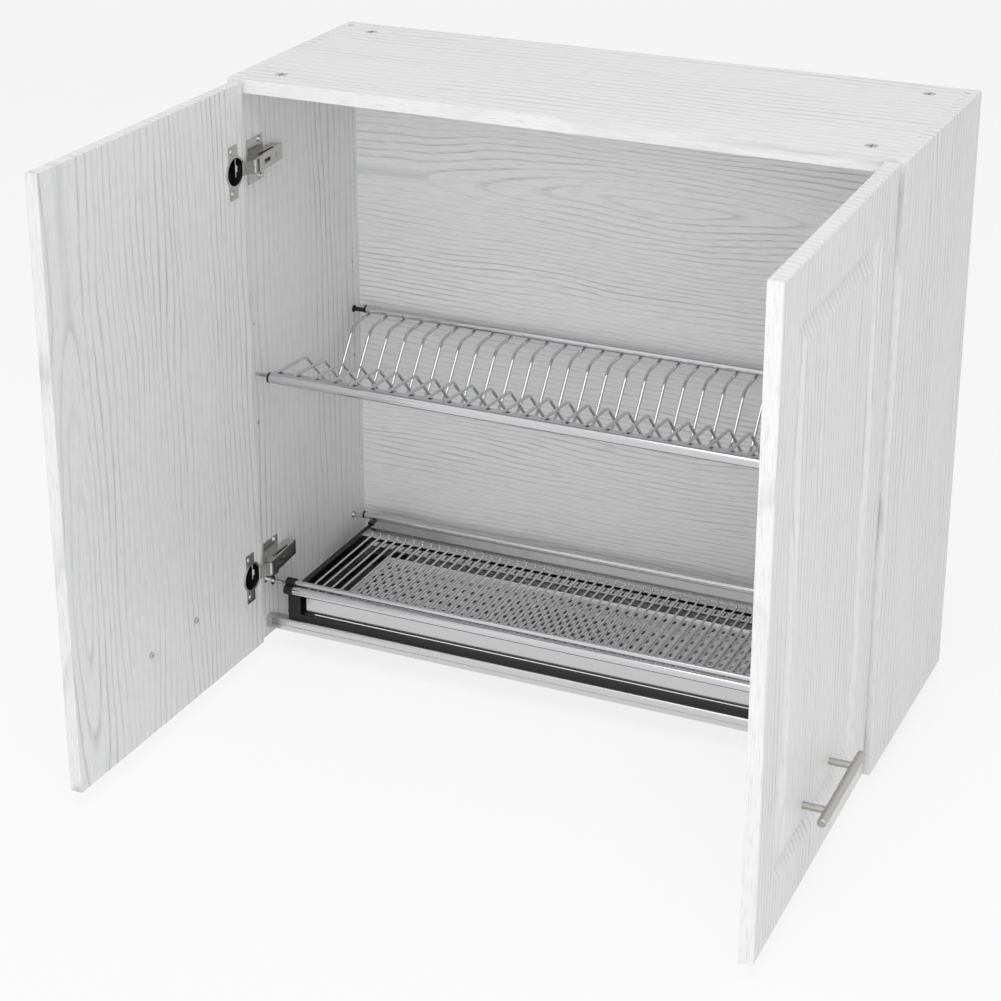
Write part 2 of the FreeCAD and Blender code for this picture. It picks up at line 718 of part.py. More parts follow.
# The rear strip hangs from the rear tube and turns forward into a ledge, on which the wires lie.
STRIP_X = f"({INNER} + strip_end_gap)"
LEDGE_Z = f"({LOW_TUBE_Z} - cup_wire_low - cup_wire_radius - strip_sheet)"
node("splash_strip", fuse(
    box(STRIP_X, f"{CUP_REAR_Y} - strip_sheet", LEDGE_Z, f"{CLEAR} - 2*strip_end_gap", "strip_sheet",
        f"{CUP_REAR_Z} - cup_rear_tube_radius - {LEDGE_Z}"),
    box(STRIP_X, f"{CUP_REAR_Y} - strip_ledge", LEDGE_Z, f"{CLEAR} - 2*strip_end_gap", "strip_ledge", "strip_sheet"),
))

END_X = f"({INNER} + cup_rack_end_gap)"
for side, word in SIDES:
    body = fuse(
        side_box(side, END_X, f"{FRONT} + end_front", SHELF_Z, "end_wall", "depth - end_front - end_rear",
                 "end_height"),
        side_box(side, END_X, f"{FRONT} + shelf_front", SHELF_Z, "shelf_depth + end_wall",
                 "depth - shelf_front - end_rear", "shelf_sheet"),
        side_box(side, END_X, "-end_post_back", SHELF_Z, "end_wall", "end_post_depth", "end_post_height"),
    )
    node("rack_end_" + word, cut(body, side_rod(side, END_X, CUP_REAR_Y, CUP_REAR_Z, "cup_rear_tube_radius",
                                                 "shelf_depth + end_wall")))

# Front bar

bar = box(INNER, BAR_Y, BAR_Z, CLEAR, "bar_depth", "bar_height")
doc.recompute()
bounds = bar.Shape.BoundBox
soft_bar = doc.addObject("Part::Fillet", "soft_bar")
soft_bar.Base = bar
soft_bar.Edges = [(n, val("bar_round"), val("bar_round"))
                  for n, edge in enumerate(bar.Shape.Edges, start=1)
                  if all(v.Point.y < bounds.YMin + 1e-6 and v.Point.z > bounds.ZMax - 1e-6 for v in edge.Vertexes)]
hollow = box(INNER, f"{BAR_Y} + bar_wall", f"{BAR_Z} + bar_wall", CLEAR, "bar_depth - 2*bar_wall",
             "bar_height - 2*bar_wall")
line = box(INNER, BAR_Y, f"{BAR_Z} + bar_height/2 - bar_groove_drop", CLEAR, "bar_groove", "bar_groove_width")
node("front_bar", cut(soft_bar, hollow, line))
plugs = []
for side, word in SIDES:
    plugs.append(fuse(
        side_box(side, INNER, f"{BAR_Y} + bar_wall + plug_play", f"{BAR_Z} + bar_wall + plug_play", "plug_length",
                 "bar_depth - 2*bar_wall - 2*plug_play", "bar_height - 2*bar_wall - 2*plug_play"),
        side_rod(side, f"{INNER} - plug_pin_length", f"{BAR_Y} + bar_depth/2", f"{BAR_Z} + bar_height/2",
                 "plug_pin_radius", "plug_pin_length"),
    ))
node("bar_plugs", many(plugs))
node("tray_gasket", box(f"{INNER} + gasket_inset", f"{BAR_Y} + gasket_front", f"{BAR_Z} + bar_height",
                        f"{CLEAR} - 2*gasket_inset", "bar_depth - gasket_front", "gasket_height"))

# Drip tray, its end pieces and the drain plate

TRAY_Z = f"({SHELF_Z} + shelf_sheet + tray_lift)"
TRAY_X = f"({INNER} + tray_end_gap)"
TRAY_LONG = f"({CLEAR} - 2*tray_end_gap)"
TRAY_Y = f"({FRONT} + tray_front)"
tray = cut(
    box(TRAY_X, TRAY_Y, TRAY_Z, TRAY_LONG, "tray_depth", "tray_height"),
    box(f"{TRAY_X} + tray_sheet", f"{TRAY_Y} + tray_sheet", f"{TRAY_Z} + tray_sheet",
        f"{TRAY_LONG} - 2*tray_sheet", f"tray_depth - 2*tray_sheet - tray_flange", "tray_height"),
    box(TRAY_X, f"{TRAY_Y} + tray_depth - tray_flange", TRAY_Z, TRAY_LONG, "tray_flange", "tray_height - tray_sheet"),
)
node("drip_tray", tray)
for side, word in SIDES:
    end_piece = side_box(side, f"{TRAY_X} + tray_sheet + tray_cap_play", f"{TRAY_Y} + tray_sheet + tray_cap_play",
                         f"{TRAY_Z} + tray_sheet + tray_cap_play", "tray_cap",
                         "tray_depth - 2*tray_sheet - tray_flange - 2*tray_cap_play", "plate_rise - 2*tray_cap_play")
    hollow = side_box(side, f"{TRAY_X} + tray_sheet + tray_cap_wall", f"{TRAY_Y} + tray_sheet + tray_cap_wall",
                      f"{TRAY_Z} + tray_sheet + tray_cap_floor", "tray_cap - 2*tray_cap_wall",
                      "tray_depth - 2*tray_sheet - tray_flange - 2*tray_cap_wall", "tray_height")
    node("tray_end_" + word, cut(end_piece, hollow))

# the drain plate lies on the inner walls of the two end pieces
plate_x0 = -inner + val("tray_end_gap") + val("tray_sheet") + val("tray_cap") - val("plate_rest")
plate_y0 = front + val("tray_front") + val("tray_sheet") + val("plate_front_gap")
plate_y1 = front + val("tray_front") + val("tray_depth") - val("tray_flange") - val("plate_rear_gap")
tray_bottom = floor + val("bar_rise") + val("bar_height") + val("shelf_rise") + val("shelf_sheet")
tray_bottom += val("tray_lift") + val("tray_sheet")


def outline(x0, y0, x1, y1, z, corner=0.0):
    if corner <= 0:
        return Part.makePolygon([V(x0, y0, z), V(x1, y0, z), V(x1, y1, z), V(x0, y1, z), V(x0, y0, z)])
    k = corner * (1 - math.sqrt(0.5))
    line = lambda a, b: Part.LineSegment(a, b).toShape()
    arc = lambda a, m, b: Part.Arc(a, m, b).toShape()
    return Part.Wire([
        line(V(x0 + corner, y0, z), V(x1 - corner, y0, z)),
        arc(V(x1 - corner, y0, z), V(x1 - k, y0 + k, z), V(x1, y0 + corner, z)),
        line(V(x1, y0 + corner, z), V(x1, y1 - corner, z)),
        arc(V(x1, y1 - corner, z), V(x1 - k, y1 - k, z), V(x1 - corner, y1, z)),
        line(V(x1 - corner, y1, z), V(x0 + corner, y1, z)),
        arc(V(x0 + corner, y1, z), V(x0 + k, y1 - k, z), V(x0, y1 - corner, z)),
        line(V(x0, y1 - corner, z), V(x0, y0 + corner, z)),
        arc(V(x0, y0 + corner, z), V(x0 + k, y0 + k, z), V(x0 + corner, y0, z)),
    ])


def slot_wire(x, y, z, width, length):
    r = width / 2
    h = length / 2 - r
    return Part.Wire([
        Part.Arc(V(x - r, y + h, z), V(x, y + h + r, z), V(x + r, y + h, z)).toShape(),
        Part.LineSegment(V(x + r, y + h, z), V(x + r, y - h, z)).toShape(),
        Part.Arc(V(x + r, y - h, z), V(x, y - h - r, z), V(x - r, y - h, z)).toShape(),
        Part.LineSegment(V(x - r, y - h, z), V(x - r, y + h, z)).toShape(),
    ])


def drain_plate():
    z = tray_bottom + val("plate_rise")
    pitch = val("slot_pitch") / 2
    row = val("slot_row") / 2
    last = int((-plate_x0 - val("slot_margin")) / pitch)
    rows = int((plate_y1 - plate_y0 - 2 * val("slot_margin") - val("slot_length")) / row)
    y_first = (plate_y0 + plate_y1 - rows * row) / 2
    # The sheet is made in panels side by side, each with its own slots, and joined.
    columns = list(range(-last, last + 1))
    count = math.ceil(len(columns) / val("plate_panels"))
    panels = [columns[k:k + count] for k in range(0, len(columns), count)]
    seams = [plate_x0] + [(panel[0] - 0.5) * pitch for panel in panels[1:]] + [-plate_x0]
    sheets = []
    for panel, x0, x1 in zip(panels, seams, seams[1:]):
        wires = [outline(x0, plate_y0, x1, plate_y1, z)]
        for j in range(rows + 1):
            for i in panel:
                if (i + j) % 2 == 0:
                    wires.append(slot_wire(i * pitch, y_first + j * row, z, val("slot_width"), val("slot_length")))
        sheets.append(Part.Face(wires, "Part::FaceMakerBullseye").extrude(V(0, 0, val("plate_sheet"))))
    t = val("plate_sheet")
    edge_x0 = plate_x0 + val("plate_rest") + val("tray_cap_wall")
    front_edge = Part.makeBox(-2 * edge_x0, t, val("plate_edge"), V(edge_x0, plate_y0, z - val("plate_edge")))
    rear_fold = Part.makeBox(-2 * plate_x0, t, val("plate_fold"), V(plate_x0, plate_y1 - t, z))
    return sheets[0].fuse(sheets[1:] + [front_edge, rear_fold])


shaped("drain_plate", drain_plate())

# Doors, drawn closed about their hinge axis and then swung open together with all they carry

EDGE = "(reveal - hinge_axis_in)"
DOOR_LONG = "(width/2 - reveal - middle_gap/2)"
BACK_FACE = "(hinge_axis_out - door_gap)"
DOOR_FACE = f"({BACK_FACE} - door_board)"
DOOR_LOW = f"({FLOOR} + reveal)"
DOOR_TALL = "(height - 2*reveal)"
HANDLE_Z = f"({DOOR_LOW} + handle_rise)"
HANDLE_X = f"({EDGE} + {DOOR_LONG}/2)"
THREAD = "handle_screw_radius - handle_bore_play"
CROSS_Y = f"{BACK_FACE} + handle_head - cross_depth"
CUP_Y = f"({BACK_FACE} - cup_depth)"
CUP_SCREW_Y = f"({BACK_FACE} - small_screw_length + small_head)"


def swing(side, obj):
    angle = val("open_angle") * side
    obj.Placement = FreeCAD.Placement(V(0, 0, 0), FreeCAD.Rotation(V(0, 0, side), abs(angle)))
    obj.setExpression("Placement.Base.x", link_sizes(side_x(side, f"{OUTER} + hinge_axis_in")))
    obj.setExpression("Placement.Base.y", link_sizes(f"{FRONT} - hinge_axis_out"))
    obj.setExpression("Placement.Rotation.Angle", "sizes.open_angle")
    return obj


def rounded_frame(x0, x1, z0, z1, y, corner):
    flat = outline(x0, z0, x1, z1, 0, corner)
    flat.rotate(V(0, 0, 0), V(1, 0, 0), 90)
    flat.translate(V(0, y, 0))
    return flat


def moulding(side):
    edge = val("reveal") - val("hinge_axis_in")
    x0 = edge if side < 0 else -(edge + val("width") / 2 - val("reveal") - val("middle_gap") / 2)
    x1 = x0 + val("width") / 2 - val("reveal") - val("middle_gap") / 2
    z0 = floor + val("reveal")
    z1 = val("eye_drop") - val("reveal")
    face = val("hinge_axis_out") - val("door_gap") - val("door_board")
    low = face + val("mould_depth")

    def ring(inset, y, corner):
        return rounded_frame(x0 + inset, x1 - inset, z0 + inset, z1 - inset, y, corner)

    margin = val("frame_width")
    slope = val("mould_slope")
    per_mm = slope / val("mould_depth")
    out = Part.makeLoft([ring(margin - per_mm, face - 1, val("frame_corner") + per_mm),
                         ring(margin + slope, low, val("frame_corner") - slope / 2)], True, True)
    start = val("field_start")
    per_mm = val("field_slope") / val("mould_depth")
    field = Part.makeLoft([ring(start, low + 0.001, 1.5),
                           ring(start + val("field_slope") + per_mm, face - 1, 4)], True, True)
    return out.cut(field)


def link_shape(side):
    # A bent strip from the arm's pin to the loose eye round the pin in the cup.
    lean = math.radians(val("link_lean"))
    root = V(0, 0, 0)
    eye = V(-val("link_length") * math.cos(lean), -val("link_length") * math.sin(lean), 0)
    knee = V(val("link_knee_in") - val("arm_pin_in"), -val("link_knee_out") - val("arm_pin_back"), 0)

    def strip(a, b, half):
        long = (b - a).Length
        bar = Part.makeBox(long, val("link_sheet"), 2 * half, V(0, -val("link_sheet") / 2, -half))
        bar.rotate(V(0, 0, 0), V(0, 0, 1), math.degrees(math.atan2(b.y - a.y, b.x - a.x)))
        bar.translate(a)
        return bar

    half = val("link_half")
    tongue = val("link_tongue_half")
    shape = Part.makeCylinder(val("link_eye"), 2 * half, root - V(0, 0, half))
    shape = shape.fuse([
        strip(root, knee, half),
        Part.makeCylinder(val("link_sheet") / 2, 2 * half, knee - V(0, 0, half)),
        strip(knee, knee + (eye - knee) * val("link_broad_part"), val("link_broad_half")),
        strip(knee, eye, tongue),
        Part.makeCylinder(val("cup_eye"), 2 * tongue, eye - V(0, 0, tongue)),
    ])
    shape = shape.cut([
        Part.makeCylinder(val("arm_pin_radius") + val("pin_play"), 2 * half, root - V(0, 0, half)),
        Part.makeCylinder(val("cup_eye_bore"), 2 * tongue, eye - V(0, 0, tongue)),
    ])
    if side > 0:
        shape = shape.mirror(V(0, 0, 0), V(1, 0, 0))
    return shape


arms = []
arm_pins = []
wings = []
wing_screws = []
adjusters = []
for side, word in SIDES:
    board = side_box(side, EDGE, DOOR_FACE, DOOR_LOW, DOOR_LONG, "door_board", DOOR_TALL)
    doc.recompute()
    rounded = doc.addObject("Part::Fillet", "rounded")
    rounded.Base = board
    face_edges = []
    for n, edge in enumerate(board.Shape.Edges, start=1):
        if all(abs(v.Point.y - board.Shape.BoundBox.YMin) < 1e-6 for v in edge.Vertexes):
            face_edges.append((n, val("edge_round"), val("edge_round")))
    rounded.Edges = face_edges
    mould = doc.addObject("Part::Feature", "moulding_" + word)
    mould.Shape = moulding(side)
    tools = [mould]
    bars = []
    posts = []
    screws = []
    flanges = []
    bowls = []
    cup_pins = []
    cup_screws = []
    bar_y = f"({DOOR_FACE} - handle_standoff)"
    for half in (-1, 1):
        x = f"{HANDLE_X} + {half}*handle_pitch/2"
        tools.append(side_rod(side, x, DOOR_FACE, HANDLE_Z, "handle_screw_radius", "door_board", "y"))
        posts.append(cut(
            side_rod(side, x, bar_y, HANDLE_Z, "post_radius", "handle_standoff", "y"),
            side_rod(side, f"{HANDLE_X} - handle_pitch", bar_y, HANDLE_Z, "handle_radius", "2*handle_pitch"),
            side_rod(side, x, f"{DOOR_FACE} - post_bore", HANDLE_Z, THREAD, "post_bore", "y"),
        ))
        screws.append(fuse(
            side_rod(side, x, f"{DOOR_FACE} - 0.95*post_bore", HANDLE_Z, THREAD, "door_board + 0.95*post_bore", "y"),
            cut(side_rod(side, x, BACK_FACE, HANDLE_Z, "handle_head_radius", "handle_head", "y"),
                side_box(side, f"{x} - cross_width/2", CROSS_Y, f"{HANDLE_Z} - cross_length/2",
                         "cross_width", "cross_depth", "cross_length"),
                side_box(side, f"{x} - cross_length/2", CROSS_Y, f"{HANDLE_Z} - cross_width/2",
                         "cross_length", "cross_depth", "cross_width")),
        ))
    bar = side_rod(side, f"{HANDLE_X} - handle_length/2", bar_y, HANDLE_Z, "handle_radius", "handle_length")
    doc.recompute()
    bar_round = doc.addObject("Part::Fillet", "bar_round")
    bar_round.Base = bar
    bar_round.Edges = [(n, val("handle_end_round"), val("handle_end_round"))
                       for n, edge in enumerate(bar.Shape.Edges, start=1) if edge.isClosed()]
    cup_x = f"({EDGE} + cup_centre)"
    for end in HINGE_Z:
        tools.append(side_rod(side, cup_x, CUP_Y, end, "cup_radius", "cup_depth", "y"))
        flange = fuse(
            side_rod(side, cup_x, BACK_FACE, end, "cup_flange_radius", "cup_flange", "y"),
            side_box(side, f"{cup_x} - cup_ear_width/2 + cup_ear_shift", BACK_FACE, f"{end} - cup_ear_length/2",
                     "cup_ear_width", "cup_flange", "cup_ear_length"),
        )
        bowls.append(cut(
            side_rod(side, cup_x, CUP_Y, end, "cup_radius", "cup_depth", "y"),
            side_rod(side, cup_x, f"{CUP_Y} + cup_wall", end, "cup_radius - cup_wall",
                     "cup_depth", "y"),
        ))
        drills = [side_rod(side, cup_x, BACK_FACE, end, "cup_radius - cup_wall", "cup_flange", "y")]
        for half in (-1, 1):
            z = f"{end} + {half}*cup_screw_step/2"
            x = f"{cup_x} + cup_screw_shift"
            drills.append(side_rod(side, x, BACK_FACE, z, "small_screw_radius", "cup_flange", "y"))
            tools.append(side_rod(side, x, CUP_SCREW_Y, z, "small_screw_radius - thread_depth/2",
                                  "small_screw_length - small_head", "y"))
            cup_screws.append(fuse(
                side_rod(side, x, CUP_SCREW_Y, z, "small_screw_radius - thread_depth/2",
                         "small_screw_length - small_head + cup_flange", "y"),
                side_rod(side, x, f"{BACK_FACE} + cup_flange", z, "small_head_radius", "cup_screw_head", "y"),
            ))
        flanges.append(cut(flange, *drills))
        pin_x = f"{EDGE} + cup_pin_edge"
        pin_y = f"{BACK_FACE} - cup_pin_depth"
        reach = "(sqrt(pow(cup_radius - cup_wall; 2) - pow(cup_centre - cup_pin_edge; 2)) + cup_pin_bite)"
        cup_pins.append(side_rod(side, pin_x, pin_y, f"{end} - {reach}", "cup_pin_radius", f"2*{reach}", "z"))

        # the arm on the cabinet side
        top_x = f"{OUTER} + arm_top"
        rise = "(arm_top - board - plate_wing - plate_rib)"
        fall = "(arm_rear_top - board - plate_wing - plate_rib)"
        arm_x = f"{INNER} + plate_wing + plate_rib"
        arm = side_wedge(side, arm_x, FRONT, f"{end} - arm_half", rise, fall, "arm_length", "2*arm_half")
        channel = side_wedge(side, arm_x, FRONT, f"{end} - arm_half + arm_wall", f"{rise} - arm_wall",
                             f"{fall} - arm_wall", "arm_length", "2*arm_half - 2*arm_wall")
        mouth = side_box(side, f"{top_x} - arm_wall - 2", FRONT, f"{end} - arm_half + arm_wall",
                         "arm_wall + 4", "arm_mouth", "2*arm_half - 2*arm_wall")
        window = side_box(side, f"{top_x} - arm_wall - 5", f"{FRONT} + arm_window", f"{end} - arm_window_width/2",
                          "arm_wall + 8", "arm_window_length", "arm_window_width")
        pin_hole = side_rod(side, f"{OUTER} + arm_pin_in", f"{FRONT} + arm_pin_back", f"{end} - arm_half",
                            "arm_pin_radius", "2*arm_half", "z")
        slots = side_box(side, f"{arm_x} + arm_slot_rise", f"{FRONT} + arm_slot_front", f"{end} - arm_half",
                         "arm_slot_width", "arm_slot_length", "2*arm_half")
        screw_hole = side_rod(side, f"{arm_x} + arm_slot_rise", f"{FRONT} + arm_screw", end,
                              "arm_screw_radius + arm_screw_play", rise)
        arms.append(cut(arm, channel, mouth, window, pin_hole, slots, screw_hole))
        arm_pins.append(side_rod(side, f"{OUTER} + arm_pin_in", f"{FRONT} + arm_pin_back",
                                 f"{end} - arm_half", "arm_pin_radius", "2*arm_half", "z"))
        wing = fuse(
            side_box(side, INNER, f"{FRONT} + plate_front", f"{end} - plate_length/2", "plate_wing", "plate_width",
                     "plate_length"),
            side_box(side, f"{INNER} + plate_wing", f"{FRONT} + plate_front", f"{end} - arm_half", "plate_rib",
                     "plate_rib_length", "2*arm_half"),
        )
        holes = []
        for half in (-1, 1):
            z = f"{end} + {half}*plate_screw_step/2"
            holes.append(side_rod(side, INNER, PLATE_SCREW_Y, z, PILOT, "plate_wing"))
            wing_screws.append(fuse(
                side_rod(side, f"{INNER} - small_screw_length + plate_wing", PLATE_SCREW_Y, z, PILOT,
                         "small_screw_length"),
                side_rod(side, f"{INNER} + plate_wing", PLATE_SCREW_Y, z, "small_head_radius", "small_head"),
            ))
        wings.append(cut(wing, *holes))
        cross_x = f"{arm_x} + {fall} + arm_screw_rise - cross_depth"
        adjusters.append(cut(
            side_rod(side, arm_x, f"{FRONT} + arm_screw", end, "arm_screw_radius", f"{fall} + arm_screw_rise"),
            side_box(side, cross_x, f"{FRONT} + arm_screw - cross_length/2", f"{end} - cross_width/2",
                     "cross_depth", "cross_length", "cross_width"),
            side_box(side, cross_x, f"{FRONT} + arm_screw - cross_width/2", f"{end} - cross_length/2",
                     "cross_depth", "cross_width", "cross_length"),
        ))
    node("door_" + word, swing(side, cut(rounded, *tools)))
    node("handle_bar_" + word, swing(side, bar_round))
    node("handle_posts_" + word, swing(side, many(posts)))
    node("handle_screws_" + word, swing(side, many(screws)))
    node("hinge_cups_" + word, swing(side, many(bowls)))
    node("cup_flanges_" + word, swing(side, many(flanges)))
    node("cup_screws_" + word, swing(side, many(cup_screws)))
    node("cup_pins_" + word, swing(side, many(cup_pins)))
    link = link_shape(side)
    pair = []
    for end in (floor + val("reveal") + val("hinge_end"), val("eye_drop") - val("reveal") - val("hinge_end")):
        copy = link.copy()
        copy.translate(V(side * (val("width") / 2 - val("arm_pin_in")), front + val("arm_pin_back"), end))
        pair.append(copy)
    shaped("hinge_links_" + word, Part.makeCompound(pair))
node("hinge_arms", many(arms))
node("arm_pins", many(arm_pins))
node("mounting_plates", many(wings))
node("plate_screws", many(wing_screws))
node("adjusting_screws", many(adjusters))

doc.recompute()

os.makedirs("parts", exist_ok=True)
for obj in nodes:
    state = set(obj.State)
    if state & {"Invalid", "Error"} or obj.Shape.isNull() or not obj.Shape.isValid():
        raise RuntimeError(obj.Label + " was not made: " + str(obj.State))
    if not obj.Shape.Solids:
        raise RuntimeError(obj.Label + " has no solid")
    obj.Shape.exportStep("parts/" + obj.Label + ".step")
    print(obj.Label, len(obj.Shape.Solids), round(obj.Shape.Volume / 1000, 2), "cm3")
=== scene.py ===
import json
import math

import bpy
from mathutils import Euler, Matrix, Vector


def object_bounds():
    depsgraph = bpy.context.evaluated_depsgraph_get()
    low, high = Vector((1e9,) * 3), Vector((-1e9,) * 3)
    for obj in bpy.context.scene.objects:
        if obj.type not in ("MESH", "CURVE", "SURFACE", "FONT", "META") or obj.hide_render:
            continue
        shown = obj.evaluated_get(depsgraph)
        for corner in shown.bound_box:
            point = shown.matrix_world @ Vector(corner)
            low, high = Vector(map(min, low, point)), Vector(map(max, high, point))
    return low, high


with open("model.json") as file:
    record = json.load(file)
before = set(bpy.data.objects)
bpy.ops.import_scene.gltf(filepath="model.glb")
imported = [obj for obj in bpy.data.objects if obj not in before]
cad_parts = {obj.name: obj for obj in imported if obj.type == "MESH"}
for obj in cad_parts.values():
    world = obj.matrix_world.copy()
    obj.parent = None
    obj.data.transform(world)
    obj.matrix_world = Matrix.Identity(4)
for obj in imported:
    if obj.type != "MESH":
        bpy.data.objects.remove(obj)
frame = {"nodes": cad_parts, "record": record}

cad_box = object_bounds()
MM = 0.001
X, Y, Z = 0, 1, 2

PAPER_COLOUR = "#ebebeb"
INK_COLOUR = "#b0b1b3"
FLOOR_COLOUR = "#f4f4f4"
FLOOR_DROP = 20 * MM
FLOOR_REACH = 30
FLOOR_WHITENESS = 0.8
ROOM_LIGHT = 0.52
PHOTO_SIDE = 1001
FOCAL_PIXELS = 2441.5
SENSOR = 36


# Colours and the helpers that every finish is made with

def linear(hex_code):
    # A colour written as sRGB hex, as the linear values that Blender works in.
    channels = [int(hex_code[i:i + 2], 16) / 255 for i in (1, 3, 5)]
    return [c / 12.92 if c <= 0.04045 else ((c + 0.055) / 1.055) ** 2.4 for c in channels] + [1.0]


def add(material, kind, links=None, values=None, **settings):
    # Adds one shader node, sets it up, and joins its inputs to other nodes' outputs.
    tree = material.node_tree
    made = tree.nodes.new(kind)
    for name, value in settings.items():
        setattr(made, name, value)
    for name, value in (values or {}).items():
        made.inputs[name].default_value = value
    for name, output in (links or {}).items():
        tree.links.new(output, made.inputs[name])
    return made


def maths(material, operation, first, second=None):
    # One Math node; first and second are nodes or plain numbers.
    made = add(material, "ShaderNodeMath", operation=operation)
    for socket, term in ((0, first), (1, second)):
        if isinstance(term, (int, float)):
            made.inputs[socket].default_value = term
        elif term is not None:
            material.node_tree.links.new(getattr(term, "outputs", [term])[0], made.inputs[socket])
    return made


def seen_by_eye(material):
    # 1 for what the camera sees straight, in metal or through glass, and 0 for light on its way.
    rays = add(material, "ShaderNodeLightPath").outputs
    direct = maths(material, "MAXIMUM", rays["Is Camera Ray"], rays["Is Glossy Ray"])
    return maths(material, "MAXIMUM", direct, rays["Is Transmission Ray"])


def new_finish(name):
    material = bpy.data.materials.new(name)
    material.use_nodes = True
    material.node_tree.nodes.clear()
    return material


def finish_with(material, surface):
    add(material, "ShaderNodeOutputMaterial", {"Surface": surface.outputs[0]})
    return material


# Ash-grain foil: printed with pale grey growth rings and short dark pores, and pressed with the same grain

def ash_foil(name, along, across, arch_centre, arch_height, arch_width, ring_gap, seed):
    # The eye sees white-painted ash: pale paper, with soft grey growth rings and fine pores.
    # along, across: axes that the grain runs on and over.
    # arch_centre: where along and across the board, in mm, a cathedral arch lies.
    # The rings run straight away from it.
    mat = new_finish(name)
    place = add(mat, "ShaderNodeTexCoord")
    parts = add(mat, "ShaderNodeSeparateXYZ", {"Vector": place.outputs["Object"]}).outputs
    thick = 3 - along - across
    u, v, w = [maths(mat, "MULTIPLY", parts[axis], 1 / MM) for axis in (across, along, thick)]
    board = add(mat, "ShaderNodeCombineXYZ", {"X": u.outputs[0], "Y": v.outputs[0], "Z": w.outputs[0]})

    def spread(socket, low, high, to_low, to_high):
        return add(mat, "ShaderNodeMapRange", {"Value": socket},
                   {"From Min": low, "From Max": high, "To Min": to_low, "To Max": to_high})

    def noise(across_mm, along_mm, detail, low, high, to_low, to_high, offset):
        # One stretched noise over the board, its middle spread over to_low .. to_high.
        stretch = add(mat, "ShaderNodeMapping", {"Vector": board.outputs[0]},
                      {"Location": (seed + offset, seed * 2, offset),
                       "Scale": (1 / across_mm, 1 / along_mm, 1 / across_mm)})
        field = add(mat, "ShaderNodeTexNoise", {"Vector": stretch.outputs[0]}, {"Scale": 1.0, "Detail": detail})
        return spread(field.outputs["Fac"], low, high, to_low, to_high)

    # the lines sway slowly, 300 mm to a wave, and quiver a little
    sway = noise(75, 300, 1.0, 0.3, 0.7, -7.0, 7.0, 1.0)
    quiver = noise(24, 60, 1.0, 0.3, 0.7, -0.8, 0.8, 4.0)
    beside = maths(mat, "ADD", maths(mat, "ADD", u, sway), quiver)
    # the arch: past arch_width from its middle the lines run straight, nearer they close over the heart of the log
    centre_along, centre_across = arch_centre
    off = maths(mat, "SUBTRACT", beside, centre_across)
    end = maths(mat, "SUBTRACT", v, centre_along)
    end = maths(mat, "MULTIPLY", end, arch_width / arch_height)
    near = maths(mat, "MINIMUM", maths(mat, "POWER", end, 2.0), arch_width ** 2)
    total = maths(mat, "ADD", maths(mat, "POWER", off, 2.0), near)
    # growth rings: a thin line every ring_gap mm, sharp on one side and faded on the other
    rings = maths(mat, "FRACT", maths(mat, "MULTIPLY", maths(mat, "SQRT", total), 1 / ring_gap))
    fade = spread(rings.outputs[0], 0.0, 0.26, 1.0, 0.0)
    rise = spread(rings.outputs[0], 0.88, 1.0, 0.0, 1.0)
    ring = maths(mat, "MAXIMUM", fade, rise)
    # rings print strong in some places and faint in others, and break up along their length
    strength = noise(60, 380, 1.0, 0.32, 0.68, 0.25, 1.0, 7.0)
    broken = noise(2.2, 60, 2.0, 0.35, 0.6, 0.35, 1.0, 2.0)
    printed = maths(mat, "MULTIPLY", maths(mat, "MULTIPLY", ring, strength), broken)
    # open pores: 0.8 mm wide, 24 mm long
    pores = noise(0.8, 24, 2.0, 0.54, 0.68, 0.0, 0.38, 9.0)
    grain = maths(mat, "MAXIMUM", printed, pores)
    grain.use_clamp = True

    colour = add(mat, "ShaderNodeMix", {"Factor": grain.outputs[0]}, data_type="RGBA")
    colour.inputs["A"].default_value = linear(PAPER_COLOUR)
    colour.inputs["B"].default_value = linear(INK_COLOUR)
    pressed = add(mat, "ShaderNodeBump", {"Height": grain.outputs[0]}, {"Strength": 0.3, "Distance": 0.12 * MM},
                  invert=True)
    skin = add(mat, "ShaderNodeBsdfPrincipled",
               {"Base Color": colour.outputs["Result"], "Normal": pressed.outputs[0]},
               {"Roughness": 0.42, "IOR": 1.5})
    return finish_with(mat, skin)


# Off the board: an arch this far across lies beside it, and every line runs straight.
BESIDE = 400
SIDE_FOIL = ash_foil("ash_foil_on_sides", Z, Y, (-900, BESIDE), 500, 40, ring_gap=13, seed=1.0)
LEFT_DOOR_FOIL = ash_foil("ash_foil_on_left_door", Z, Y, (-430, -668), 300, 34, ring_gap=11, seed=5.0)
RIGHT_DOOR_FOIL = ash_foil("ash_foil_on_right_door", Z, Y, (-430, BESIDE), 300, 34, ring_gap=11, seed=21.0)
TOP_FOIL = ash_foil("ash_foil_on_top", X, Y, (900, BESIDE), 500, 40, ring_gap=14, seed=9.0)
BACK_FOIL = ash_foil("ash_foil_on_back", X, Z, (40, -140), 330, 28, ring_gap=7, seed=13.0)


# Metals and plastics

